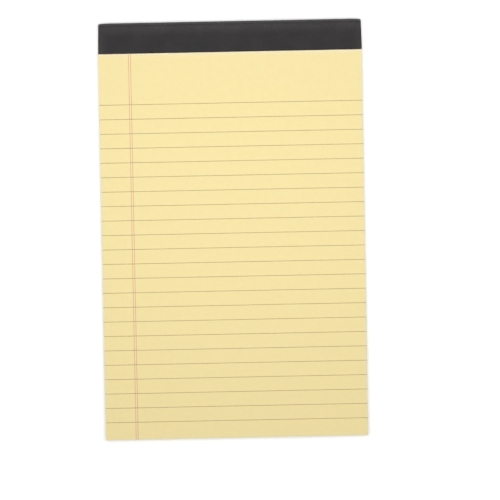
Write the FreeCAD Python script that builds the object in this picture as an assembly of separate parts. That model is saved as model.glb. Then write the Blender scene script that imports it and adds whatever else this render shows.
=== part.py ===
import FreeCAD, Part
import math
import os

# Legal pad: a block of ruled sheets on a backing board, stapled near the head
# and bound there by one strip of tape that is folded over front, spine and back.
# Millimetres. X runs across the sheets, Y from the foot to the bound head, Z out
# of the writing face. The origin is under the middle of the pad.

# Driving dimensions of the whole pad
pad_width = 127.0
pad_length = 205.0

# Sheets and board
sheet_count = 50
sheet_thickness = 0.1
board_thickness = 0.8

# Binding tape
tape_thickness = 0.2
tape_front_width = 14.0
tape_back_width = 14.0
tape_bite = 0.05

# Softened head of the sheet block, under the tape
crown_length = 5.0
crown_drop = 0.45
nose_radius = 1.1
heel_radius = 0.4

# Staples
staple_count = 2
staple_spacing = 70.0
staple_setback = 2.8
staple_crown = 12.0
staple_clinch = 4.5
wire_width = 0.7
wire_thickness = 0.5
wire_bend_radius = 0.3

# Tear line below the tape
tear_line_offset = 1.0
slit_length = 0.7
slit_width = 0.12
slit_pitch = 1.0
cut_overrun = 1.0

# Levels, from the surface that the pad lies on
half_width = pad_width / 2
half_length = pad_length / 2
board_back = tape_thickness - tape_bite
board_front = board_back + board_thickness
sheet_front = board_front + sheet_count * sheet_thickness
front_land = sheet_front - tape_bite
back_land = board_back + tape_bite

# Places along the length
foot = -half_length
head_face = half_length - tape_thickness
front_tape_edge = half_length - tape_front_width
back_tape_edge = half_length - tape_back_width
crown_start = head_face - crown_length
staple_line = crown_start - staple_setback
tear_line = front_tape_edge - tear_line_offset

# The crown is a wide arc that leaves the flat face smoothly and falls by
# crown_drop at the head. The nose is a small arc between the crown and the spine.
crown_radius = (crown_length ** 2 + crown_drop ** 2) / (2 * crown_drop)
crown_centre = (crown_start, front_land - crown_radius)
nose_reach = head_face - nose_radius - crown_start
nose_rise = math.sqrt((crown_radius - nose_radius) ** 2 - nose_reach ** 2)
nose_centre = (head_face - nose_radius, crown_centre[1] + nose_rise)
nose_angle = math.atan2(nose_rise, nose_reach)

# The heel is the rounded back edge of the board, at most as large as the board allows.
heel_size = min(heel_radius, (board_front - back_land) / 2)
heel_centre = (head_face - heel_size, back_land + heel_size)


def in_side_view(point):
    """A point (y, z) of the side view, on the pad's left side."""
    return FreeCAD.Vector(-half_width, point[0], point[1])


def on_arc(centre, radius, angle):
    """The point of an arc at an angle, in the side view."""
    return (centre[0] + radius * math.cos(angle), centre[1] + radius * math.sin(angle))


def line(start, end):
    return Part.LineSegment(in_side_view(start), in_side_view(end)).toShape()


def arc(centre, radius, start_angle, end_angle):
    middle_angle = (start_angle + end_angle) / 2
    angles = (start_angle, middle_angle, end_angle)
    points = [in_side_view(on_arc(centre, radius, angle)) for angle in angles]
    return Part.Arc(*points).toShape()


def across_the_pad(edges):
    """The solid that a closed side view makes across the whole width."""
    outline = Part.Wire(Part.__sortEdges__(edges))
    return Part.Face(outline).extrude(FreeCAD.Vector(pad_width, 0, 0))


def softened_front(offset):
    """The crown and the nose, at an offset outside the sheet block."""
    crown = arc(crown_centre, crown_radius + offset, math.pi / 2, nose_angle)
    nose = arc(nose_centre, nose_radius + offset, nose_angle, 0)
    return [crown, nose]


def softened_back(offset):
    """The heel, at an offset outside the board."""
    return [arc(heel_centre, heel_size + offset, 0, -math.pi / 2)]


def sheet_block():
    """All the sheets as one block, with a land for the tape and a softened head."""
    edges = [
        line((foot, board_front), (head_face, board_front)),
        line((head_face, board_front), (head_face, nose_centre[1])),
        line((crown_start, front_land), (front_tape_edge, front_land)),
        line((front_tape_edge, front_land), (front_tape_edge, sheet_front)),
        line((front_tape_edge, sheet_front), (foot, sheet_front)),
        line((foot, sheet_front), (foot, board_front)),
    ]
    return across_the_pad(edges + softened_front(0))


def backing_board():
    """The chipboard under the sheets, with a land for the tape at its back."""
    edges = [
        line((foot, board_back), (back_tape_edge, board_back)),
        line((back_tape_edge, board_back), (back_tape_edge, back_land)),
        line((back_tape_edge, back_land), (heel_centre[0], back_land)),
        line((head_face, heel_centre[1]), (head_face, board_front)),
        line((head_face, board_front), (foot, board_front)),
        line((foot, board_front), (foot, board_back)),
    ]
    return across_the_pad(edges + softened_back(0))


def tape_side(offset):
    """One side of the folded tape, from its front edge round the head to its back edge."""
    front = front_land + offset
    spine = head_face + offset
    back = back_land - offset
    edges = [
        line((front_tape_edge, front), (crown_start, front)),
        line((spine, nose_centre[1]), (spine, heel_centre[1])),
        line((heel_centre[0], back), (back_tape_edge, back)),
    ]
    return edges + softened_front(offset) + softened_back(offset)


def binding_tape():
    """One strip folded over the front, the spine and the back."""
    edges = tape_side(0) + tape_side(tape_thickness)
    edges.append(line((front_tape_edge, front_land), (front_tape_edge, front_land + tape_thickness)))
    edges.append(line((back_tape_edge, back_land), (back_tape_edge, back_land - tape_thickness)))
    return across_the_pad(edges)


def rounded_outline(corners):
    """A closed wire in the XZ plane through square corners (x, z, radius)."""
    points = [FreeCAD.Vector(x, 0, z) for x, z, radius in corners]
    count = len(corners)
    starts = []
    ends = []
    edges = []
    for index in range(count):
        point = points[index]
        radius = corners[index][2]
        to_previous = (points[index - 1] - point).normalize()
        to_next = (points[(index + 1) % count] - point).normalize()
        start = point + to_previous * radius
        end = point + to_next * radius
        if radius > 0:
            centre = start + to_next * radius
            middle = centre + (point - centre).normalize() * radius
            edges.append(Part.Arc(start, middle, end).toShape())
        starts.append(start)
        ends.append(end)
    for index in range(count):
        edges.append(Part.LineSegment(ends[index - 1], starts[index]).toShape())
    return Part.Wire(Part.__sortEdges__(edges))


def staple():
    """One flat-wire staple about x = 0, its legs turned inward under the board."""
    outer = staple_crown / 2
    inner = outer - wire_thickness
    tip = outer - staple_clinch
    outer_bend = wire_bend_radius + wire_thickness
    inner_bend = wire_bend_radius
    top = front_land
    bottom = back_land
    right_half = [
        (outer, top, outer_bend),
        (outer, bottom, outer_bend),
        (tip, bottom, 0),
        (tip, bottom + wire_thickness, 0),
        (inner, bottom + wire_thickness, inner_bend),
        (inner, top - wire_thickness, inner_bend),
    ]
    left_half = [(-x, z, radius) for x, z, radius in reversed(right_half)]
    outline = rounded_outline(right_half + left_half)
    outline.translate(FreeCAD.Vector(0, staple_line - wire_width / 2, 0))
    return Part.Face(outline).extrude(FreeCAD.Vector(0, wire_width, 0))


def staples():
    """The row of staples, each a solid of its own."""
    first = -staple_spacing * (staple_count - 1) / 2
    row = []
    for index in range(staple_count):
        place = FreeCAD.Vector(first + index * staple_spacing, 0, 0)
        row.append(staple().translated(place))
    return Part.makeCompound(row)


def tear_line_slits():
    """The cutters of the tear line, one for each slit through all the sheets."""
    slit_count = int(pad_width / slit_pitch + 0.001)
    first = -slit_pitch * (slit_count - 1) / 2
    depth = sheet_front - board_front + 2 * cut_overrun
    slits = []
    for index in range(slit_count):
        x = first + index * slit_pitch - slit_length / 2
        corner = FreeCAD.Vector(x, tear_line - slit_width / 2, board_front - cut_overrun)
        slits.append(Part.makeBox(slit_length, slit_width, depth, corner))
    return Part.makeCompound(slits)


def export(shape, node):
    os.makedirs("parts", exist_ok=True)
    shape.exportStep("parts/" + node + ".step")


wire = staples()
block = sheet_block().cut(tear_line_slits()).cut(wire)
board = backing_board().cut(wire)

export(block, "sheet_block")
export(board, "backing_board")
export(binding_tape(), "binding_tape")
export(wire, "staples")
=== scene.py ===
import math
import random

import bpy
from mathutils import Matrix, Vector, noise


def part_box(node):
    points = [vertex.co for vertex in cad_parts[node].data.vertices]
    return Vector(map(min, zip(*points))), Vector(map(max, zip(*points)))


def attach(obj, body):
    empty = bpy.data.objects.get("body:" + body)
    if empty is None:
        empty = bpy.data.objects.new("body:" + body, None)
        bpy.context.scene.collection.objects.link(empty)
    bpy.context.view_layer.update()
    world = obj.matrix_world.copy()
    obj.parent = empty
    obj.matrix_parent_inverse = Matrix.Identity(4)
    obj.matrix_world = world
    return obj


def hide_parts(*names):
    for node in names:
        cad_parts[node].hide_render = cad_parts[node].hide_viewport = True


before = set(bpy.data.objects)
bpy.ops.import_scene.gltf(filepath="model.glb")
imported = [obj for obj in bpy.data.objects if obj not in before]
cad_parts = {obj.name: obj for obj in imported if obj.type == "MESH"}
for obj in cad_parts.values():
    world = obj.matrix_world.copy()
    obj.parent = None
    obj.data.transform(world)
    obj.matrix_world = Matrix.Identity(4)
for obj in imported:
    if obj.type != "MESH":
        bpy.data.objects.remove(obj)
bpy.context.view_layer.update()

MM = 0.001
random.seed(7)

# Levels and edges, read from the frame
sheet_low, sheet_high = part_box("sheet_block")
tape_low, tape_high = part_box("binding_tape")
wire_low, wire_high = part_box("staples")
board_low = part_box("backing_board")[0]
HALF_WIDTH = sheet_high.x
FOOT = sheet_low.y
HEAD_FACE = sheet_high.y
BOARD_BACK = board_low.z
SHEET_BACK = sheet_low.z
SHEET_FRONT = sheet_high.z
TAPE_EDGE = tape_low.y
FRONT_LAND = wire_high.z
BACK_LAND = wire_low.z
STAPLE_LINE = (wire_low.y + wire_high.y) / 2

# The softened head, as in the solids
CROWN_LENGTH = 5.0 * MM
CROWN_DROP = 0.45 * MM
NOSE_RADIUS = 1.1 * MM
HEEL_RADIUS = 0.4 * MM
STAPLE_CROWN = 12.0 * MM
STAPLE_CENTRES = (wire_low.x + STAPLE_CROWN / 2, wire_high.x - STAPLE_CROWN / 2)

# Tape: thin enough for the wire to raise it inside the pad's box, with a slightly uneven front edge
TAPE_THICKNESS = 0.16 * MM
TAPE_GAP = 0.004 * MM
EDGE_WAVER = 0.03 * MM
WAVER_LENGTH = 9 * MM
SHARP_ANGLE = math.radians(40)

# The rise over each wire: its height, and where it ends along the wire and beside it
WIRE_RELIEF = 0.04 * MM
WIRE_END = STAPLE_CROWN / 2 - 0.3 * MM
END_SLOPE = 0.9 * MM
SIDE_SLOPE = (0.2 * MM, 1.1 * MM)

# Trimmed sides: the stack rolls down a little towards them, less so below the tape
ROLL_WIDTH = 4.0 * MM
ROLL_DROP = 0.14 * MM
BARE_ROLL = 0.3

# The top sheet dips to its land just before the tape
LAND_DIP = 0.4 * MM

# The head's corners: pulled in from the head and from the side, and a little rounded
HEAD_INSET = 0.28 * MM
INSET_WIDTH = 5.5 * MM
SIDE_INSET = 0.3 * MM
SIDE_INSET_WIDTH = 6.0 * MM
CORNER_RADIUS = 0.6 * MM
INSET_REACH = 4.0 * MM

# Sheets
SHEET_COUNT = 50
AIR_SHARE = 0.07
AIR_SPREAD = (0.2, 1.8)
MOST_TRIM = 0.12 * MM
LEAN_KEPT = 0.8
LEAN_STEP = 0.2

# Tear line
SLIT_PITCH = 1.0 * MM
SLIT_LENGTH = 0.7 * MM
SLIT_WIDTH = 0.045 * MM
TEAR_LINE = TAPE_EDGE - 1.0 * MM
SLIT_SHEETS = 4

# Steps of the grids, in from the sides, up from the foot, across the middle and round the tape
LEAST_STEP = 0.01 * MM
SIDE_STEPS = [0.08 * MM, 0.2 * MM, 0.36 * MM, CORNER_RADIUS, 1.2 * MM, 2.2 * MM]
SIDE_STEPS += [ROLL_WIDTH, SIDE_INSET_WIDTH]
FOOT_STEPS = [0.5 * MM, 2 * MM, 5 * MM]
MIDDLE_STEP = 12.5 * MM
MIDDLE_REACH = 4
TAPE_STEP = 1.0 * MM
TAPE_REACH = 58
HEAD_ROWS = 9
FLANGE_ROWS = 24
CROWN_ROWS = 8
NOSE_ROWS = 10
SPINE_ROWS = 6
HEEL_ROWS = 6

# Maps of the sheets: where each side's band starts and ends, as a share of the map's height
MAP_NAME = "OFBake"
MAP_RIM = 0.005
SIDE_DEPTH = 0.5 * MM
STACK_BANDS = {
    "left": (0.01, 0.24),
    "right": (0.26, 0.49),
    "foot": (0.51, 0.74),
    "head": (0.76, 0.83),
    "front": (0.85, 0.91),
    "back": (0.93, 0.99),
}
SHEET_BANDS = {
    "front": (0.01, 0.62),
    "back": (0.64, 0.72),
    "left": (0.74, 0.79),
    "right": (0.81, 0.86),
    "foot": (0.88, 0.93),
    "head": (0.95, 0.99),
}

# Printed lines
RULE_COUNT = 23
RULE_PITCH = 7.144 * MM
FIRST_RULE = tape_high.y - 39.1 * MM
RULE_WIDTH = 0.26 * MM
MARGIN_PLACES = (14.6 * MM, 15.57 * MM)
MARGIN_WIDTH = 0.26 * MM
INK_THICKNESS = 0.003 * MM
INK_GAP = 0.002 * MM

# Camera: a long lens that looks down from beyond the head, with the pad off the picture's middle
LENS = 1000.0
SENSOR_WIDTH = 36.0
CLIP = (0.1, 30.0)
DISTANCE = 6.7082
TILT = math.radians(12.69)
SWING = math.radians(0.43)
ROLL = math.radians(1.15)
ORIGIN_IN_VIEW = (-8.1 * MM, 10.35 * MM)

# Light and floor, in metres and watts. Each lamp has its place, aim, size and power.
WORLD_LEVEL = 0.3
FLOOR_REACH = 6.0
FLOOR_WHITE = 0.9
FLOOR_GLOW = 0.36
GLOW_FADE = (0.15, 0.5)
LAMPS = {
    "head_softbox": ((0.0, 0.067, 0.44), (0.0, 0.067, 0.0), (0.3, 0.2), 1.34),
    "left_softbox": ((-0.8, 0.0, 0.5), (0.0, 0.0, 0.0), (0.4, 0.6), 0.7),
    "right_softbox": ((0.8, 0.0, 0.5), (0.0, 0.0, 0.0), (0.4, 0.6), 0.7),
}

# Colours, as 0 to 255 for red, green and blue, and the wire's as linear light
PAPER = (248, 230, 169)
PAPER_DEEP = (244, 224, 159)
PAPER_PALE = (251, 235, 179)
# A greyer tone for the sheets' rim: painted shade of the trimmed edges
PAPER_EDGE_SHADE = (243, 230, 180)
# A lighter, less yellow tone just below the tape: painted light that offsets the tape's shadow on the
# sheet
PAPER_LIT_BAND = (250, 236, 194)
RULE_INK = (163, 142, 97)
MARGIN_INK = (226, 153, 141)
CROSSING_INK = (138, 98, 78)
TAPE_BLACK = (41, 39, 40)
# Lighter grey for the tape near the head and the ends: partly worn tape, partly painted sheen of the
# curved surface
TAPE_WEAR_AND_SHEEN = (92, 89, 90)
BOARD_GREY = (150, 143, 132)
BOARD_DARK = (112, 106, 98)
BOARD_PALE = (186, 180, 168)
WIRE_DARK = (0.5, 0.5, 0.5)
WIRE_PALE = (0.68, 0.68, 0.67)

# Where the painted edge shade, the painted light below the tape and the tape's worn and painted-sheen
# patches change, in from an edge
EDGE_SHADE_SPAN = (0.2 * MM, 1.8 * MM)
LIT_BAND_SPAN = (2.2 * MM, 0.3 * MM)
# How far the tape's worn and painted-sheen patches reach from the head and from the ends
FOLD_WEAR_AND_SHEEN = 6.0 * MM
END_WEAR_AND_SHEEN = (0.2 * MM, 5.0 * MM)

# Marks of the printed lines on the trimmed edges, in shares of the ruling's pitch
MARK_FADE = (0.015, 0.04)
MARK_WANDER = 0.08 * MM

# The levels between which a noise mostly lies
NOISE_SPAN = (0.3, 0.7)

CROWN_START = HEAD_FACE - CROWN_LENGTH
CROWN_RADIUS = (CROWN_LENGTH ** 2 + CROWN_DROP ** 2) / (2 * CROWN_DROP)
CROWN_CENTRE = FRONT_LAND - CROWN_RADIUS
NOSE_Y = HEAD_FACE - NOSE_RADIUS
NOSE_REACH = NOSE_Y - CROWN_START
NOSE_RISE = math.sqrt((CROWN_RADIUS - NOSE_RADIUS) ** 2 - NOSE_REACH ** 2)
NOSE_Z = CROWN_CENTRE + NOSE_RISE
NOSE_ANGLE = math.atan2(NOSE_RISE, NOSE_REACH)
HEEL_Y = HEAD_FACE - HEEL_RADIUS
HEEL_Z = BACK_LAND + HEEL_RADIUS


def smooth(low, high, value):
    """0 below low, 1 above high, and an even curve between them."""
    share = min(1.0, max(0.0, (value - low) / (high - low)))
    return share * share * (3 - 2 * share)


def side_roll(x):
    """How far the stack rolls down towards its trimmed sides."""
    inward = HALF_WIDTH - abs(x)
    return ROLL_DROP * max(0.0, 1 - inward / ROLL_WIDTH) ** 2


def settled(x, y):
    """Where a place on the pad lies, with the head's corners pulled in and rounded."""
    inward = HALF_WIDTH - abs(x)
    up_tape = min(1.0, max(0.0, (y - TAPE_EDGE) / (HEAD_FACE - TAPE_EDGE)))
    from_side = SIDE_INSET * up_tape * smooth(SIDE_INSET_WIDTH, 0, inward)
    from_head = HEAD_INSET * max(0.0, 1 - inward / INSET_WIDTH) ** 2
    if inward < CORNER_RADIUS:
        from_head += CORNER_RADIUS - math.sqrt(CORNER_RADIUS ** 2 - (CORNER_RADIUS - inward) ** 2)
    near_head = smooth(CROWN_START - INSET_REACH, HEAD_FACE, y)
    return x - math.copysign(from_side, x), y - from_head * near_head


def crown_fall(y):
    """How far the softened head lies below its land."""
    reach = min(CROWN_LENGTH, max(0.0, y - CROWN_START))
    return CROWN_RADIUS - math.sqrt(CROWN_RADIUS ** 2 - reach ** 2)


def stack_top(x, y):
    """The height of the top sheet's face."""
    taped = smooth(TAPE_EDGE - LAND_DIP, TAPE_EDGE, y)
    roll = side_roll(x) * (BARE_ROLL + (1 - BARE_ROLL) * taped)
    return SHEET_FRONT - taped * (SHEET_FRONT - FRONT_LAND) - crown_fall(y) - roll


def head_end(z):
    """Where a sheet at a height ends under the tape."""
    if z <= NOSE_Z:
        return HEAD_FACE
    rise = min(NOSE_RADIUS, z - NOSE_Z)
    return NOSE_Y + math.sqrt(NOSE_RADIUS ** 2 - rise ** 2)


def new_piece(name, points, faces, material, smooth_faces=False):
    """A mesh object that rides on the pad and takes its finish from a slot."""
    mesh = bpy.data.meshes.new(name)
    mesh.from_pydata(points, [], faces)
    mesh.materials.append(material)
    for face in mesh.polygons:
        face.use_smooth = smooth_faces
    mesh.update()
    piece = bpy.data.objects.new(name, mesh)
    bpy.context.scene.collection.objects.link(piece)
    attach(piece, "root")
    return piece


def add_shell(points, faces, top, bottom, present):
    """Adds a closed thin sheet made of two grids, with a wall at each edge of the cells present."""
    across = len(top)
    along = len(top[0])
    seen = {}

    def point(side, i, j):
        key = (side, i, j)
        if key not in seen:
            seen[key] = len(points)
            points.append((top if side else bottom)[i][j])
        return seen[key]

    def there(i, j):
        return 0 <= i < across - 1 and 0 <= j < along - 1 and present(i, j)

    for i in range(across - 1):
        for j in range(along - 1):
            if not there(i, j):
                continue
            ring = ((i, j), (i + 1, j), (i + 1, j + 1), (i, j + 1))
            faces.append([point(1, *corner) for corner in ring])
            faces.append([point(0, *corner) for corner in reversed(ring)])
            beside = ((i, j - 1), (i + 1, j), (i, j + 1), (i - 1, j))
            for side in range(4):
                if not there(*beside[side]):
                    a = ring[side]
                    b = ring[(side + 1) % 4]
                    faces.append([point(1, *b), point(1, *a), point(0, *a), point(0, *b)])


def side_of(face):
    """The side of the sheets that a face is on. Walls inside slits count as back faces."""
    x, y = face.center.x, face.center.y
    if face.normal.z > 0.5:
        return "front"
    if face.normal.x < -0.5 and x < -HALF_WIDTH + SIDE_DEPTH:
        return "left"
    if face.normal.x > 0.5 and x > HALF_WIDTH - SIDE_DEPTH:
        return "right"
    if face.normal.y < -0.5 and y < FOOT + SIDE_DEPTH:
        return "foot"
    if face.normal.y > 0.5 and y > TAPE_EDGE:
        return "head"
    return "back"


def lay_out(piece, bands):
    """A map for the piece's finish in which each side has a band, wide where it shows."""
    mesh = piece.data
    heights = [vertex.co.z for vertex in mesh.vertices]
    low, high = min(heights), max(heights)
    layer = mesh.uv_layers.new(name=MAP_NAME)
    for face in mesh.polygons:
        side = side_of(face)
        start, end = bands[side]
        for loop in face.loop_indices:
            point = mesh.vertices[mesh.loops[loop].vertex_index].co
            across = (point.x + HALF_WIDTH) / (2 * HALF_WIDTH)
            along = (point.y - FOOT) / (HEAD_FACE - FOOT)
            up = (point.z - low) / (high - low)
            u = across if side in ("foot", "head") else along
            v = across if side in ("front", "back") else up
            layer.data[loop].uv = (MAP_RIM + (1 - 2 * MAP_RIM) * u, start + (end - start) * v)


def slit_edges():
    """The X of each slit's two ends, from left to right."""
    count = int(2 * HALF_WIDTH / SLIT_PITCH + 0.001)
    first = -SLIT_PITCH * (count - 1) / 2
    middles = [first + index * SLIT_PITCH for index in range(count)]
    return [(middle - SLIT_LENGTH / 2, middle + SLIT_LENGTH / 2) for middle in middles]


def merged(values, least=LEAST_STEP):
    """Sorted values, without those closer together than least."""
    kept = []
    for value in sorted(values):
        if not kept or value - kept[-1] > least:
            kept.append(value)
    return kept


def rule_edges():
    """The Y of each ruled line's two edges, from the head down."""
    places = [FIRST_RULE - index * RULE_PITCH for index in range(RULE_COUNT)]
    return [(place - RULE_WIDTH / 2, place + RULE_WIDTH / 2) for place in places]


def margin_edges():
    """The X of each margin line's two edges."""
    places = [-HALF_WIDTH + place for place in MARGIN_PLACES]
    return [(place - MARGIN_WIDTH / 2, place + MARGIN_WIDTH / 2) for place in places]


def within(spans, a, b):
    """True where the middle of a and b lies in one of the spans."""
    middle = (a + b) / 2
    return any(low < middle < high for low, high in spans)


SLITS = slit_edges()
RULES = rule_edges()
MARGINS = margin_edges()
TEAR = (TEAR_LINE - SLIT_WIDTH / 2, TEAR_LINE + SLIT_WIDTH / 2)


def side_columns():
    """The X of the columns near both sides."""
    steps = [0.0] + SIDE_STEPS
    return [-HALF_WIDTH + step for step in steps] + [HALF_WIDTH - step for step in steps]


def fine_columns(with_margins):
    """Columns at the ends of each slit and, for the top sheet, at the margin lines' edges."""
    columns = side_columns()
    for pair in SLITS:
        columns.extend(pair)
    if with_margins:
        edges = [edge for pair in MARGINS for edge in pair]
        columns = [x for x in columns if not any(abs(x - edge) < LEAST_STEP for edge in edges)]
        columns.extend(edges)
    return merged(columns)


def coarse_columns():
    """Columns for a sheet without slits, and for the board."""
    inner = [index * MIDDLE_STEP for index in range(-MIDDLE_REACH, MIDDLE_REACH + 1)]
    return merged(side_columns() + inner)


def rows_below_head(fine):
    """Y of the rows from the foot to the crown. The last rows, up to the head, differ with each sheet."""
    rows = [FOOT] + [FOOT + step for step in FOOT_STEPS]
    rows += [TAPE_EDGE - LAND_DIP, TAPE_EDGE - LAND_DIP / 2, TAPE_EDGE, CROWN_START]
    rows += TEAR
    if fine:
        for pair in RULES:
            rows.extend(pair)
        rows.append((RULES[0][1] + TEAR[0]) / 2)
    return merged(rows)


def fractions():
    """The share of the stack's height below each sheet, with uneven air between sheets."""
    air = [random.uniform(*AIR_SPREAD) for index in range(SHEET_COUNT)]
    total = sum(air)
    paper = (1 - AIR_SHARE) / SHEET_COUNT
    low = 0.0
    spans = []
    for gap in air:
        low += AIR_SHARE * gap / total
        spans.append((low, low + paper))
        low += paper
    return spans


def sheet_grid(columns, rows, span, trim):
    """The two faces of one sheet, each a grid of points."""
    left, right, foot_trim, lean = trim
    top = []
    bottom = []
    for x in columns:
        top_column = []
        bottom_column = []
        for height, column in ((span[1], top_column), (span[0], bottom_column)):
            end_height = SHEET_BACK + height * (stack_top(x, HEAD_FACE) - SHEET_BACK)
            end = head_end(end_height)
            reach = end - CROWN_START
            head_rows = [CROWN_START + reach * k / HEAD_ROWS for k in range(1, HEAD_ROWS + 1)]
            for y in rows + head_rows:
                slack = min(1.0, max(0.0, (STAPLE_LINE - y) / (STAPLE_LINE - FOOT)))
                share = (x + HALF_WIDTH) / (2 * HALF_WIDTH)
                moved_x, moved_y = settled(x, y)
                moved_x += slack * (lean + left * (1 - share) - right * share)
                if y == FOOT:
                    moved_y += foot_trim
                z = SHEET_BACK + height * (stack_top(x, y) - SHEET_BACK)
                column.append((moved_x, moved_y, z))
        top.append(top_column)
        bottom.append(bottom_column)
    return top, bottom


def slit_mask(columns, rows):
    """A test for the cells of a sheet that aren't slits."""

    def present(i, j):
        if j >= len(rows) - 1 or not within([TEAR], rows[j], rows[j + 1]):
            return True
        return not within(SLITS, columns[i], columns[i + 1])

    return present


def make_stack(paper):
    """All the sheets below the top one, each a closed sheet of its own."""
    points = []
    faces = []
    spans = fractions()
    drift = 0.0
    narrow = MOST_TRIM / 2
    for index in range(SHEET_COUNT - 1):
        drift = LEAN_KEPT * drift + random.uniform(-LEAN_STEP, LEAN_STEP)
        lean = max(-1.0, min(1.0, drift)) * MOST_TRIM / 2
        trim = (narrow, narrow, random.uniform(0.0, 1.0) ** 2 * MOST_TRIM, lean)
        slit = index >= SHEET_COUNT - SLIT_SHEETS
        columns = fine_columns(False) if slit else coarse_columns()
        rows = rows_below_head(False)
        top, bottom = sheet_grid(columns, rows, spans[index], trim)
        present = slit_mask(columns, rows) if slit else (lambda i, j: True)
        add_shell(points, faces, top, bottom, present)
    stack = new_piece("sheet_stack", points, faces, paper)
    lay_out(stack, STACK_BANDS)
    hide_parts("sheet_block")
    return spans[-1]


def lifted(grid, height):
    """A grid of points, moved up by a height."""
    return [[(x, y, z + height) for x, y, z in column] for column in grid]


def make_top_sheet(span, paper, rule_ink, margin_ink, crossing_ink):
    """The top sheet, with its printed lines as films of ink that follow it."""
    columns = fine_columns(True)
    rows = rows_below_head(True)
    top, bottom = sheet_grid(columns, rows, span, (0.0, 0.0, 0.0, 0.0))
    whole = slit_mask(columns, rows)
    points = []
    faces = []
    add_shell(points, faces, top, bottom, whole)
    sheet = new_piece("top_sheet", points, faces, paper)
    lay_out(sheet, SHEET_BANDS)
    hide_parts("sheet_block")

    def ruled(i, j):
        return j < len(rows) - 1 and within(RULES, rows[j], rows[j + 1])

    def on_margin(i, j):
        below_tape = j < len(rows) - 1 and rows[j] < TAPE_EDGE
        return below_tape and whole(i, j) and within(MARGINS, columns[i], columns[i + 1])

    def film(name, level, present, material):
        low = INK_GAP + level * (INK_GAP + INK_THICKNESS)
        film_points = []
        film_faces = []
        add_shell(film_points, film_faces, lifted(top, low + INK_THICKNESS), lifted(top, low), present)
        return new_piece(name, film_points, film_faces, material)

    film("ruled_lines", 0, ruled, rule_ink)
    margin = film("margin_lines", 1, on_margin, margin_ink)
    margin.data.materials.append(crossing_ink)
    for face in margin.data.polygons:
        if within(RULES, face.center.y, face.center.y):
            face.material_index = 1


def wire_bump(x, y):
    """How far a staple's wire lifts the tape over it."""
    along = min(abs(x - centre) for centre in STAPLE_CENTRES)
    beside = abs(y - STAPLE_LINE)
    return (1 - smooth(WIRE_END, WIRE_END + END_SLOPE, along)) * (1 - smooth(*SIDE_SLOPE, beside))


def tape_profile():
    """The tape's inner face from its front edge round the head, as (kind, y, z, normal y, normal z)."""
    stations = []
    for k in range(FLANGE_ROWS + 1):
        y = TAPE_EDGE + (CROWN_START - TAPE_EDGE) * k / FLANGE_ROWS
        stations.append(("front", y, FRONT_LAND, 0.0, 1.0))
    for k in range(1, CROWN_ROWS + 1):
        angle = math.pi / 2 + (NOSE_ANGLE - math.pi / 2) * k / CROWN_ROWS
        y = CROWN_START + CROWN_RADIUS * math.cos(angle)
        z = CROWN_CENTRE + CROWN_RADIUS * math.sin(angle)
        stations.append(("crown", y, z, math.cos(angle), math.sin(angle)))
    for k in range(1, NOSE_ROWS + 1):
        angle = NOSE_ANGLE * (1 - k / NOSE_ROWS)
        y = NOSE_Y + NOSE_RADIUS * math.cos(angle)
        z = NOSE_Z + NOSE_RADIUS * math.sin(angle)
        stations.append(("spine", y, z, math.cos(angle), math.sin(angle)))
    for k in range(1, SPINE_ROWS):
        z = NOSE_Z + (HEEL_Z - NOSE_Z) * k / SPINE_ROWS
        stations.append(("spine", HEAD_FACE, z, 1.0, 0.0))
    for k in range(HEEL_ROWS + 1):
        angle = -math.pi / 2 * k / HEEL_ROWS
        y = HEEL_Y + HEEL_RADIUS * math.cos(angle)
        z = HEEL_Z + HEEL_RADIUS * math.sin(angle)
        stations.append(("spine", y, z, math.cos(angle), math.sin(angle)))
    for k in range(1, FLANGE_ROWS + 1):
        y = HEEL_Y + (TAPE_EDGE - HEEL_Y) * k / FLANGE_ROWS
        stations.append(("back", y, BACK_LAND, 0.0, -1.0))
    return stations


def tape_point(x, station, offset, outside):
    """One point of the tape at a distance outside the sheets."""
    kind, y, z, normal_y, normal_z = station
    height = (z - BACK_LAND) / (FRONT_LAND - BACK_LAND)
    new_x, new_y = settled(x, y)
    new_y += normal_y * offset
    new_z = z + normal_z * offset - side_roll(x) * max(0.0, height)
    if outside and kind == "front":
        new_z += WIRE_RELIEF * wire_bump(x, y)
    if outside and kind == "back":
        new_z -= WIRE_RELIEF * wire_bump(x, y)
    if y == TAPE_EDGE:
        new_y += EDGE_WAVER * noise.noise(Vector((x / WAVER_LENGTH, height, 3.0)))
    return (new_x, new_y, new_z)


def make_tape(material):
    """The binding tape: one strip, folded over the front, the spine and the back."""
    columns = side_columns()
    columns += [index * TAPE_STEP for index in range(-TAPE_REACH, TAPE_REACH + 1)]
    columns = merged(columns, 5 * LEAST_STEP)
    stations = tape_profile()
    top = [[tape_point(x, s, TAPE_THICKNESS, True) for s in stations] for x in columns]
    bottom = [[tape_point(x, s, TAPE_GAP, False) for s in stations] for x in columns]
    points = []
    faces = []
    add_shell(points, faces, top, bottom, lambda i, j: True)
    tape = new_piece("binding_strip", points, faces, material, True)
    tape.data.set_sharp_from_angle(angle=SHARP_ANGLE)
    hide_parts("binding_tape")


def make_board(material):
    """The backing board, with its heel rounded and a land for the tape at the back."""
    rows = [(FOOT, BOARD_BACK), (FOOT + 1.0 * MM, BOARD_BACK), (TAPE_EDGE - 0.1 * MM, BOARD_BACK)]
    rows += [(TAPE_EDGE, BACK_LAND), (CROWN_START - INSET_REACH, BACK_LAND), (CROWN_START, BACK_LAND)]
    for k in range(HEEL_ROWS + 1):
        angle = math.pi / 2 * k / HEEL_ROWS
        rows.append((HEEL_Y + HEEL_RADIUS * math.sin(angle), HEEL_Z - HEEL_RADIUS * math.cos(angle)))
    columns = coarse_columns()
    top = [[(*settled(x, y), SHEET_BACK) for y, z in rows] for x in columns]
    bottom = [[(*settled(x, y), z) for y, z in rows] for x in columns]
    points = []
    faces = []
    add_shell(points, faces, top, bottom, lambda i, j: True)
    board = new_piece("chipboard_back", points, faces, material)
    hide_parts("backing_board")


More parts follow.
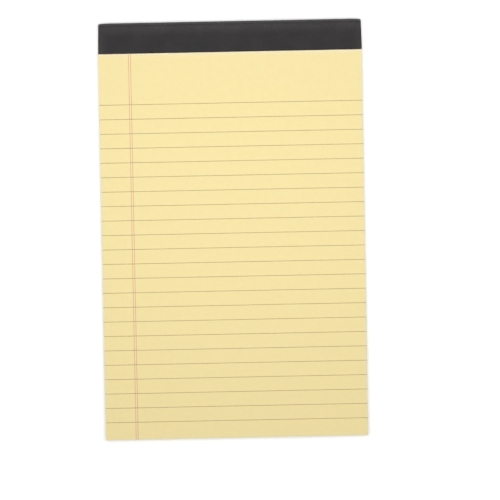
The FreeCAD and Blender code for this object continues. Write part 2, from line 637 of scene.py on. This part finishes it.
class Shader:
    """A material's nodes, with short calls to add and join them."""

    def __init__(self, name, roughness, specular):
        self.material = bpy.data.materials.new(name)
        self.material.use_nodes = True
        self.tree = self.material.node_tree
        self.tree.nodes.clear()
        self.output = self.tree.nodes.new("ShaderNodeOutputMaterial")
        self.surface = self.tree.nodes.new("ShaderNodeBsdfPrincipled")
        self.surface.inputs["Roughness"].default_value = roughness
        self.surface.inputs["Specular IOR Level"].default_value = specular
        self.join(self.surface.outputs["BSDF"], self.output.inputs["Surface"])
        place = self.tree.nodes.new("ShaderNodeTexCoord")
        self.place = place.outputs["Object"]

    def join(self, source, target):
        """Links an output to an input."""
        self.tree.links.new(source, target)

    def stretched(self, scale):
        """Object coordinates in millimetres, times a scale for each axis."""
        node = self.tree.nodes.new("ShaderNodeMapping")
        node.inputs["Scale"].default_value = [part / MM for part in scale]
        self.join(self.place, node.inputs["Vector"])
        return node.outputs["Vector"]

    def noise(self, scale, detail=3.0, stretch=(1, 1, 1), roughness=0.5):
        """A noise of so many turns to the millimetre, times the stretch of each axis."""
        node = self.tree.nodes.new("ShaderNodeTexNoise")
        node.inputs["Scale"].default_value = scale
        node.inputs["Detail"].default_value = detail
        node.inputs["Roughness"].default_value = roughness
        self.join(self.stretched(stretch), node.inputs["Vector"])
        return node.outputs["Fac"]

    def math(self, operation, first, second=None):
        """One step of arithmetic with numbers or outputs."""
        node = self.tree.nodes.new("ShaderNodeMath")
        node.operation = operation
        for index, value in enumerate((first, second)):
            if value is None:
                continue
            if isinstance(value, (int, float)):
                node.inputs[index].default_value = value
            else:
                self.join(value, node.inputs[index])
        return node.outputs["Value"]

    def remap(self, value, low, high, to_low=0.0, to_high=1.0, even=True):
        """A value between low and high, taken to another span by an even curve or a straight line."""
        node = self.tree.nodes.new("ShaderNodeMapRange")
        node.interpolation_type = "SMOOTHSTEP" if even else "LINEAR"
        node.inputs["From Min"].default_value = low
        node.inputs["From Max"].default_value = high
        node.inputs["To Min"].default_value = to_low
        node.inputs["To Max"].default_value = to_high
        self.join(value, node.inputs["Value"])
        return node.outputs["Result"]

    def spread(self, noise, to_low=0.0, to_high=1.0, even=True):
        """A noise, taken from its usual span to another."""
        return self.remap(noise, *NOISE_SPAN, to_low, to_high, even)

    def mix(self, share, first, second, blend="MIX"):
        """Two colours mixed by a share, or joined in another way."""
        node = self.tree.nodes.new("ShaderNodeMix")
        node.data_type = "RGBA"
        node.blend_type = blend
        factor, a, b = node.inputs["Factor"], node.inputs[6], node.inputs[7]
        for value, socket in ((share, factor), (first, a), (second, b)):
            if isinstance(value, (int, float)):
                socket.default_value = value
            elif isinstance(value, tuple):
                socket.default_value = (*value, 1.0)
            else:
                self.join(value, socket)
        return node.outputs[2]

    def axes(self):
        """X, Y and Z of the place on the pad, in metres."""
        node = self.tree.nodes.new("ShaderNodeSeparateXYZ")
        self.join(self.place, node.inputs["Vector"])
        return node.outputs["X"], node.outputs["Y"], node.outputs["Z"]

    def colour(self, value):
        self.join(value, self.surface.inputs["Base Color"])

    def roughness(self, value):
        self.join(value, self.surface.inputs["Roughness"])

    def bump(self, height, distance):
        """Relief from a height, at full strength."""
        node = self.tree.nodes.new("ShaderNodeBump")
        node.inputs["Distance"].default_value = distance
        node.inputs["Strength"].default_value = 1.0
        self.join(height, node.inputs["Height"])
        self.join(node.outputs["Normal"], self.surface.inputs["Normal"])


def linear(red, green, blue):
    """Linear light from a colour written as 0 to 255."""

    def one(level):
        level /= 255
        return level / 12.92 if level <= 0.04045 else ((level + 0.055) / 1.055) ** 2.4

    return (one(red), one(green), one(blue))


def line_marks(shader, colour, y):
    """The colour of trimmed edges: layered sheets, with faint marks where printed lines reach the cut."""
    layers = shader.noise(1.0, detail=4.0, stretch=(0.03, 0.03, 5.0), roughness=0.7)
    wander = shader.spread(layers, -MARK_WANDER, MARK_WANDER, even=False)
    turn = shader.math("SUBTRACT", y, FIRST_RULE - RULE_COUNT * RULE_PITCH)
    turn = shader.math("ADD", turn, wander)
    turn = shader.math("DIVIDE", turn, RULE_PITCH)
    off = shader.math("ABSOLUTE", shader.math("SUBTRACT", turn, shader.math("ROUND", turn)))
    mark = shader.remap(off, *MARK_FADE, to_low=1.0, to_high=0.0)
    breaks = shader.noise(1.0, detail=3.0, stretch=(0.1, 0.1, 9.0), roughness=0.7)
    strength = shader.remap(breaks, 0.35, 0.65, to_low=0.08, to_high=0.34)
    mark = shader.math("MULTIPLY", mark, strength)
    below = shader.math("LESS_THAN", y, FIRST_RULE + RULE_WIDTH)
    colour = shader.mix(shader.math("MULTIPLY", mark, below), colour, linear(*RULE_INK))
    return shader.mix(1.0, colour, shader.spread(layers, 0.9, 1.05), "MULTIPLY")


def paper_material(name, edge_marks):
    """Uncoated yellow paper: clouds, fine fibres, a greyer rim of painted edge shade, and marked edges or
    a lighter band of painted light below the tape.
    """
    shader = Shader(name, roughness=0.85, specular=0.25)
    clouds = shader.noise(0.35, detail=4.0)
    fibres = shader.noise(2.2, detail=6.0, stretch=(1.0, 0.35, 1.0), roughness=0.65)
    colour = shader.mix(shader.spread(clouds), linear(*PAPER_DEEP), linear(*PAPER_PALE))
    colour = shader.mix(0.85, colour, linear(*PAPER))
    colour = shader.mix(1.0, colour, shader.spread(fibres, 0.985, 1.012), "MULTIPLY")
    x, y, z = shader.axes()
    # Painted shade: the rim along the sides and foot turns greyer, standing in for the shade at the
    # trimmed edges
    from_side = shader.math("SUBTRACT", HALF_WIDTH, shader.math("ABSOLUTE", x))
    from_foot = shader.math("SUBTRACT", y, FOOT)
    rim = shader.math("MINIMUM", from_side, from_foot)
    edge_shade = shader.remap(rim, *EDGE_SHADE_SPAN, to_low=0.9, to_high=0.0)
    colour = shader.mix(edge_shade, colour, linear(*PAPER_EDGE_SHADE))
    if edge_marks:
        colour = line_marks(shader, colour, y)
    else:
        # Painted light: a band just below the tape, lightest next to it, lifts the sheet where the tape's
        # shadow falls
        start, end = LIT_BAND_SPAN
        lit_band = shader.remap(y, TAPE_EDGE - start, TAPE_EDGE - end)
        colour = shader.mix(lit_band, colour, linear(*PAPER_LIT_BAND))
    shader.colour(colour)
    shader.bump(fibres, 0.02 * MM)
    return shader.material


def ink_material(name, ink):
    """Printed ink that lets the paper's grain through."""
    shader = Shader(name, roughness=0.8, specular=0.25)
    grain = shader.noise(2.6, detail=5.0, roughness=0.6)
    bare = shader.remap(grain, 0.25, 0.75, to_low=0.0, to_high=0.3)
    colour = shader.mix(bare, linear(*ink), linear(*PAPER))
    shader.colour(colour)
    shader.bump(grain, 0.01 * MM)
    return shader.material


def tape_material():
    """Black paper tape: fine crepe across it, a low sheen, and lighter patches near the head and the
    ends, partly worn and partly a painted sheen.
    """
    shader = Shader("black_tape_finish", roughness=0.75, specular=0.25)
    crepe = shader.noise(1.5, detail=5.0, stretch=(0.5, 2.0, 2.0), roughness=0.6)
    fibres = shader.noise(4.0, detail=4.0, roughness=0.6)
    patches = shader.noise(0.12)
    x, y, z = shader.axes()
    # Partly worn tape, partly painted sheen: lighter towards the head, where the tape curves over, and
    # towards the ends
    fold_wear_and_sheen = shader.remap(y, HEAD_FACE - FOLD_WEAR_AND_SHEEN, HEAD_FACE)
    from_end = shader.math("SUBTRACT", HALF_WIDTH, shader.math("ABSOLUTE", x))
    end = shader.remap(from_end, *END_WEAR_AND_SHEEN, to_low=0.6, to_high=0.0)
    wear_and_sheen = shader.math("MAXIMUM", fold_wear_and_sheen, end)
    scuffs = shader.remap(fibres, 0.35, 0.75, to_low=0.1, to_high=0.5)
    wear_and_sheen = shader.math("MULTIPLY", wear_and_sheen, scuffs)
    colour = shader.mix(wear_and_sheen, linear(*TAPE_BLACK), linear(*TAPE_WEAR_AND_SHEEN))
    colour = shader.mix(1.0, colour, shader.spread(patches, 0.9, 1.1), "MULTIPLY")
    shader.colour(colour)
    shader.roughness(shader.spread(crepe, 0.68, 0.82))
    height = shader.math("ADD", crepe, shader.math("MULTIPLY", fibres, 0.5))
    shader.bump(height, 0.03 * MM)
    return shader.material


def board_material():
    """Recycled grey chipboard: matted fibres, dark flecks and pale shreds."""
    shader = Shader("chipboard_finish", roughness=0.9, specular=0.2)
    clouds = shader.noise(0.15, detail=4.0)
    fibres = shader.noise(1.4, detail=6.0, stretch=(1.0, 0.4, 4.0), roughness=0.7)
    flecks = shader.noise(0.9, detail=2.0, stretch=(1.6, 0.9, 3.0), roughness=0.4)
    shreds = shader.noise(0.8, detail=2.0, stretch=(0.7, 2.1, 3.0), roughness=0.4)
    colour = shader.mix(shader.spread(clouds, 0.0, 0.3), linear(*BOARD_GREY), linear(*BOARD_DARK))
    colour = shader.mix(1.0, colour, shader.spread(fibres, 0.86, 1.12), "MULTIPLY")
    for noise_level, most, shade in ((flecks, 0.8, BOARD_DARK), (shreds, 0.7, BOARD_PALE)):
        share = shader.remap(noise_level, 0.66, 0.74, to_low=0.0, to_high=most)
        colour = shader.mix(share, colour, linear(*shade))
    shader.colour(colour)
    shader.bump(fibres, 0.06 * MM)
    return shader.material


def wire_material():
    """Galvanised staple wire with fine drawing marks along it."""
    shader = Shader("staple_wire_finish", roughness=0.35, specular=0.5)
    shader.surface.inputs["Metallic"].default_value = 1.0
    marks = shader.noise(3.0, stretch=(0.2, 4.0, 4.0))
    shader.colour(shader.mix(marks, WIRE_DARK, WIRE_PALE))
    shader.roughness(shader.spread(marks, 0.28, 0.45))
    shader.bump(marks, 0.01 * MM)
    return shader.material


def dress_node(node, material):
    """Gives a shown node its finish."""
    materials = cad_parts[node].data.materials
    materials.clear()
    materials.append(material)


def white_to_eye(tree):
    """A factor that is 1 for rays that show the background: camera, mirror and glass rays."""
    path = tree.nodes.new("ShaderNodeLightPath")
    total = path.outputs["Is Camera Ray"]
    for name in ("Is Glossy Ray", "Is Transmission Ray"):
        node = tree.nodes.new("ShaderNodeMath")
        node.operation = "MAXIMUM"
        tree.links.new(total, node.inputs[0])
        tree.links.new(path.outputs[name], node.inputs[1])
        total = node.outputs["Value"]
    return total


def make_world():
    """A white world to the eye, which lights the pad at a plain level."""
    world = bpy.data.worlds.new("studio_world")
    bpy.context.scene.world = world
    world.use_nodes = True
    tree = world.node_tree
    tree.nodes.clear()
    output = tree.nodes.new("ShaderNodeOutputWorld")
    light = tree.nodes.new("ShaderNodeBackground")
    light.inputs["Color"].default_value = (WORLD_LEVEL, WORLD_LEVEL, WORLD_LEVEL, 1)
    seen = tree.nodes.new("ShaderNodeBackground")
    seen.inputs["Color"].default_value = (1, 1, 1, 1)
    mix = tree.nodes.new("ShaderNodeMixShader")
    tree.links.new(white_to_eye(tree), mix.inputs["Fac"])
    tree.links.new(light.outputs["Background"], mix.inputs[1])
    tree.links.new(seen.outputs["Background"], mix.inputs[2])
    tree.links.new(mix.outputs["Shader"], output.inputs["Surface"])


def floor_material():
    """White that keeps the pad's shadow. It glows to the eye, more so away from the pad."""
    material = bpy.data.materials.new("white_floor")
    material.use_nodes = True
    tree = material.node_tree
    tree.nodes.clear()
    output = tree.nodes.new("ShaderNodeOutputMaterial")
    matte = tree.nodes.new("ShaderNodeBsdfDiffuse")
    matte.inputs["Color"].default_value = (FLOOR_WHITE, FLOOR_WHITE, FLOOR_WHITE, 1)
    shine = tree.nodes.new("ShaderNodeEmission")
    place = tree.nodes.new("ShaderNodeTexCoord")
    reach = tree.nodes.new("ShaderNodeVectorMath")
    reach.operation = "LENGTH"
    tree.links.new(place.outputs["Object"], reach.inputs[0])
    far = tree.nodes.new("ShaderNodeMapRange")
    far.inputs["From Min"].default_value = GLOW_FADE[0]
    far.inputs["From Max"].default_value = GLOW_FADE[1]
    far.inputs["To Min"].default_value = FLOOR_GLOW
    far.inputs["To Max"].default_value = 1.0
    tree.links.new(reach.outputs["Value"], far.inputs["Value"])
    level = tree.nodes.new("ShaderNodeMath")
    level.operation = "MULTIPLY"
    tree.links.new(white_to_eye(tree), level.inputs[0])
    tree.links.new(far.outputs["Result"], level.inputs[1])
    tree.links.new(level.outputs["Value"], shine.inputs["Strength"])
    both = tree.nodes.new("ShaderNodeAddShader")
    tree.links.new(matte.outputs["BSDF"], both.inputs[0])
    tree.links.new(shine.outputs["Emission"], both.inputs[1])
    tree.links.new(both.outputs["Shader"], output.inputs["Surface"])
    return material


def make_floor():
    """A large square floor under the pad."""
    mesh = bpy.data.meshes.new("floor")
    corners = [(-1, -1), (1, -1), (1, 1), (-1, 1)]
    mesh.from_pydata([(x * FLOOR_REACH, y * FLOOR_REACH, 0) for x, y in corners], [], [(0, 1, 2, 3)])
    mesh.materials.append(floor_material())
    floor = bpy.data.objects.new("floor", mesh)
    bpy.context.scene.collection.objects.link(floor)


def area_light(name, place, aim, size, power):
    """A rectangular lamp that faces a point."""
    data = bpy.data.lights.new(name, "AREA")
    data.shape = "RECTANGLE"
    data.size, data.size_y = size
    data.energy = power
    lamp = bpy.data.objects.new(name, data)
    lamp.location = place
    lamp.rotation_euler = (Vector(aim) - Vector(place)).to_track_quat("-Z", "Y").to_euler()
    bpy.context.scene.collection.objects.link(lamp)


def make_camera():
    """The camera, moved back and aside in its own view and turned about the pad's middle."""
    data = bpy.data.cameras.new("camera")
    data.lens = LENS
    data.sensor_width = SENSOR_WIDTH
    data.clip_start, data.clip_end = CLIP
    camera = bpy.data.objects.new("camera", data)
    turn = Matrix.Rotation(-TILT, 4, "X") @ Matrix.Rotation(-SWING, 4, "Y")
    turn = turn @ Matrix.Rotation(-ROLL, 4, "Z")
    back = Matrix.Translation((-ORIGIN_IN_VIEW[0], -ORIGIN_IN_VIEW[1], DISTANCE))
    camera.matrix_world = turn @ back
    bpy.context.scene.collection.objects.link(camera)
    bpy.context.scene.camera = camera


stack_paper = paper_material("paper_stack_finish", True)
sheet_paper = paper_material("paper_sheet_finish", False)
rule_ink = ink_material("rule_ink_finish", RULE_INK)
margin_ink = ink_material("margin_ink_finish", MARGIN_INK)
crossing_ink = ink_material("crossing_ink_finish", CROSSING_INK)

top_span = make_stack(stack_paper)
make_top_sheet(top_span, sheet_paper, rule_ink, margin_ink, crossing_ink)
make_tape(tape_material())
make_board(board_material())
dress_node("staples", wire_material())

make_world()
make_floor()
for lamp_name, lamp in LAMPS.items():
    area_light(lamp_name, *lamp)
make_camera()
bpy.context.scene.view_settings.view_transform = "Standard"
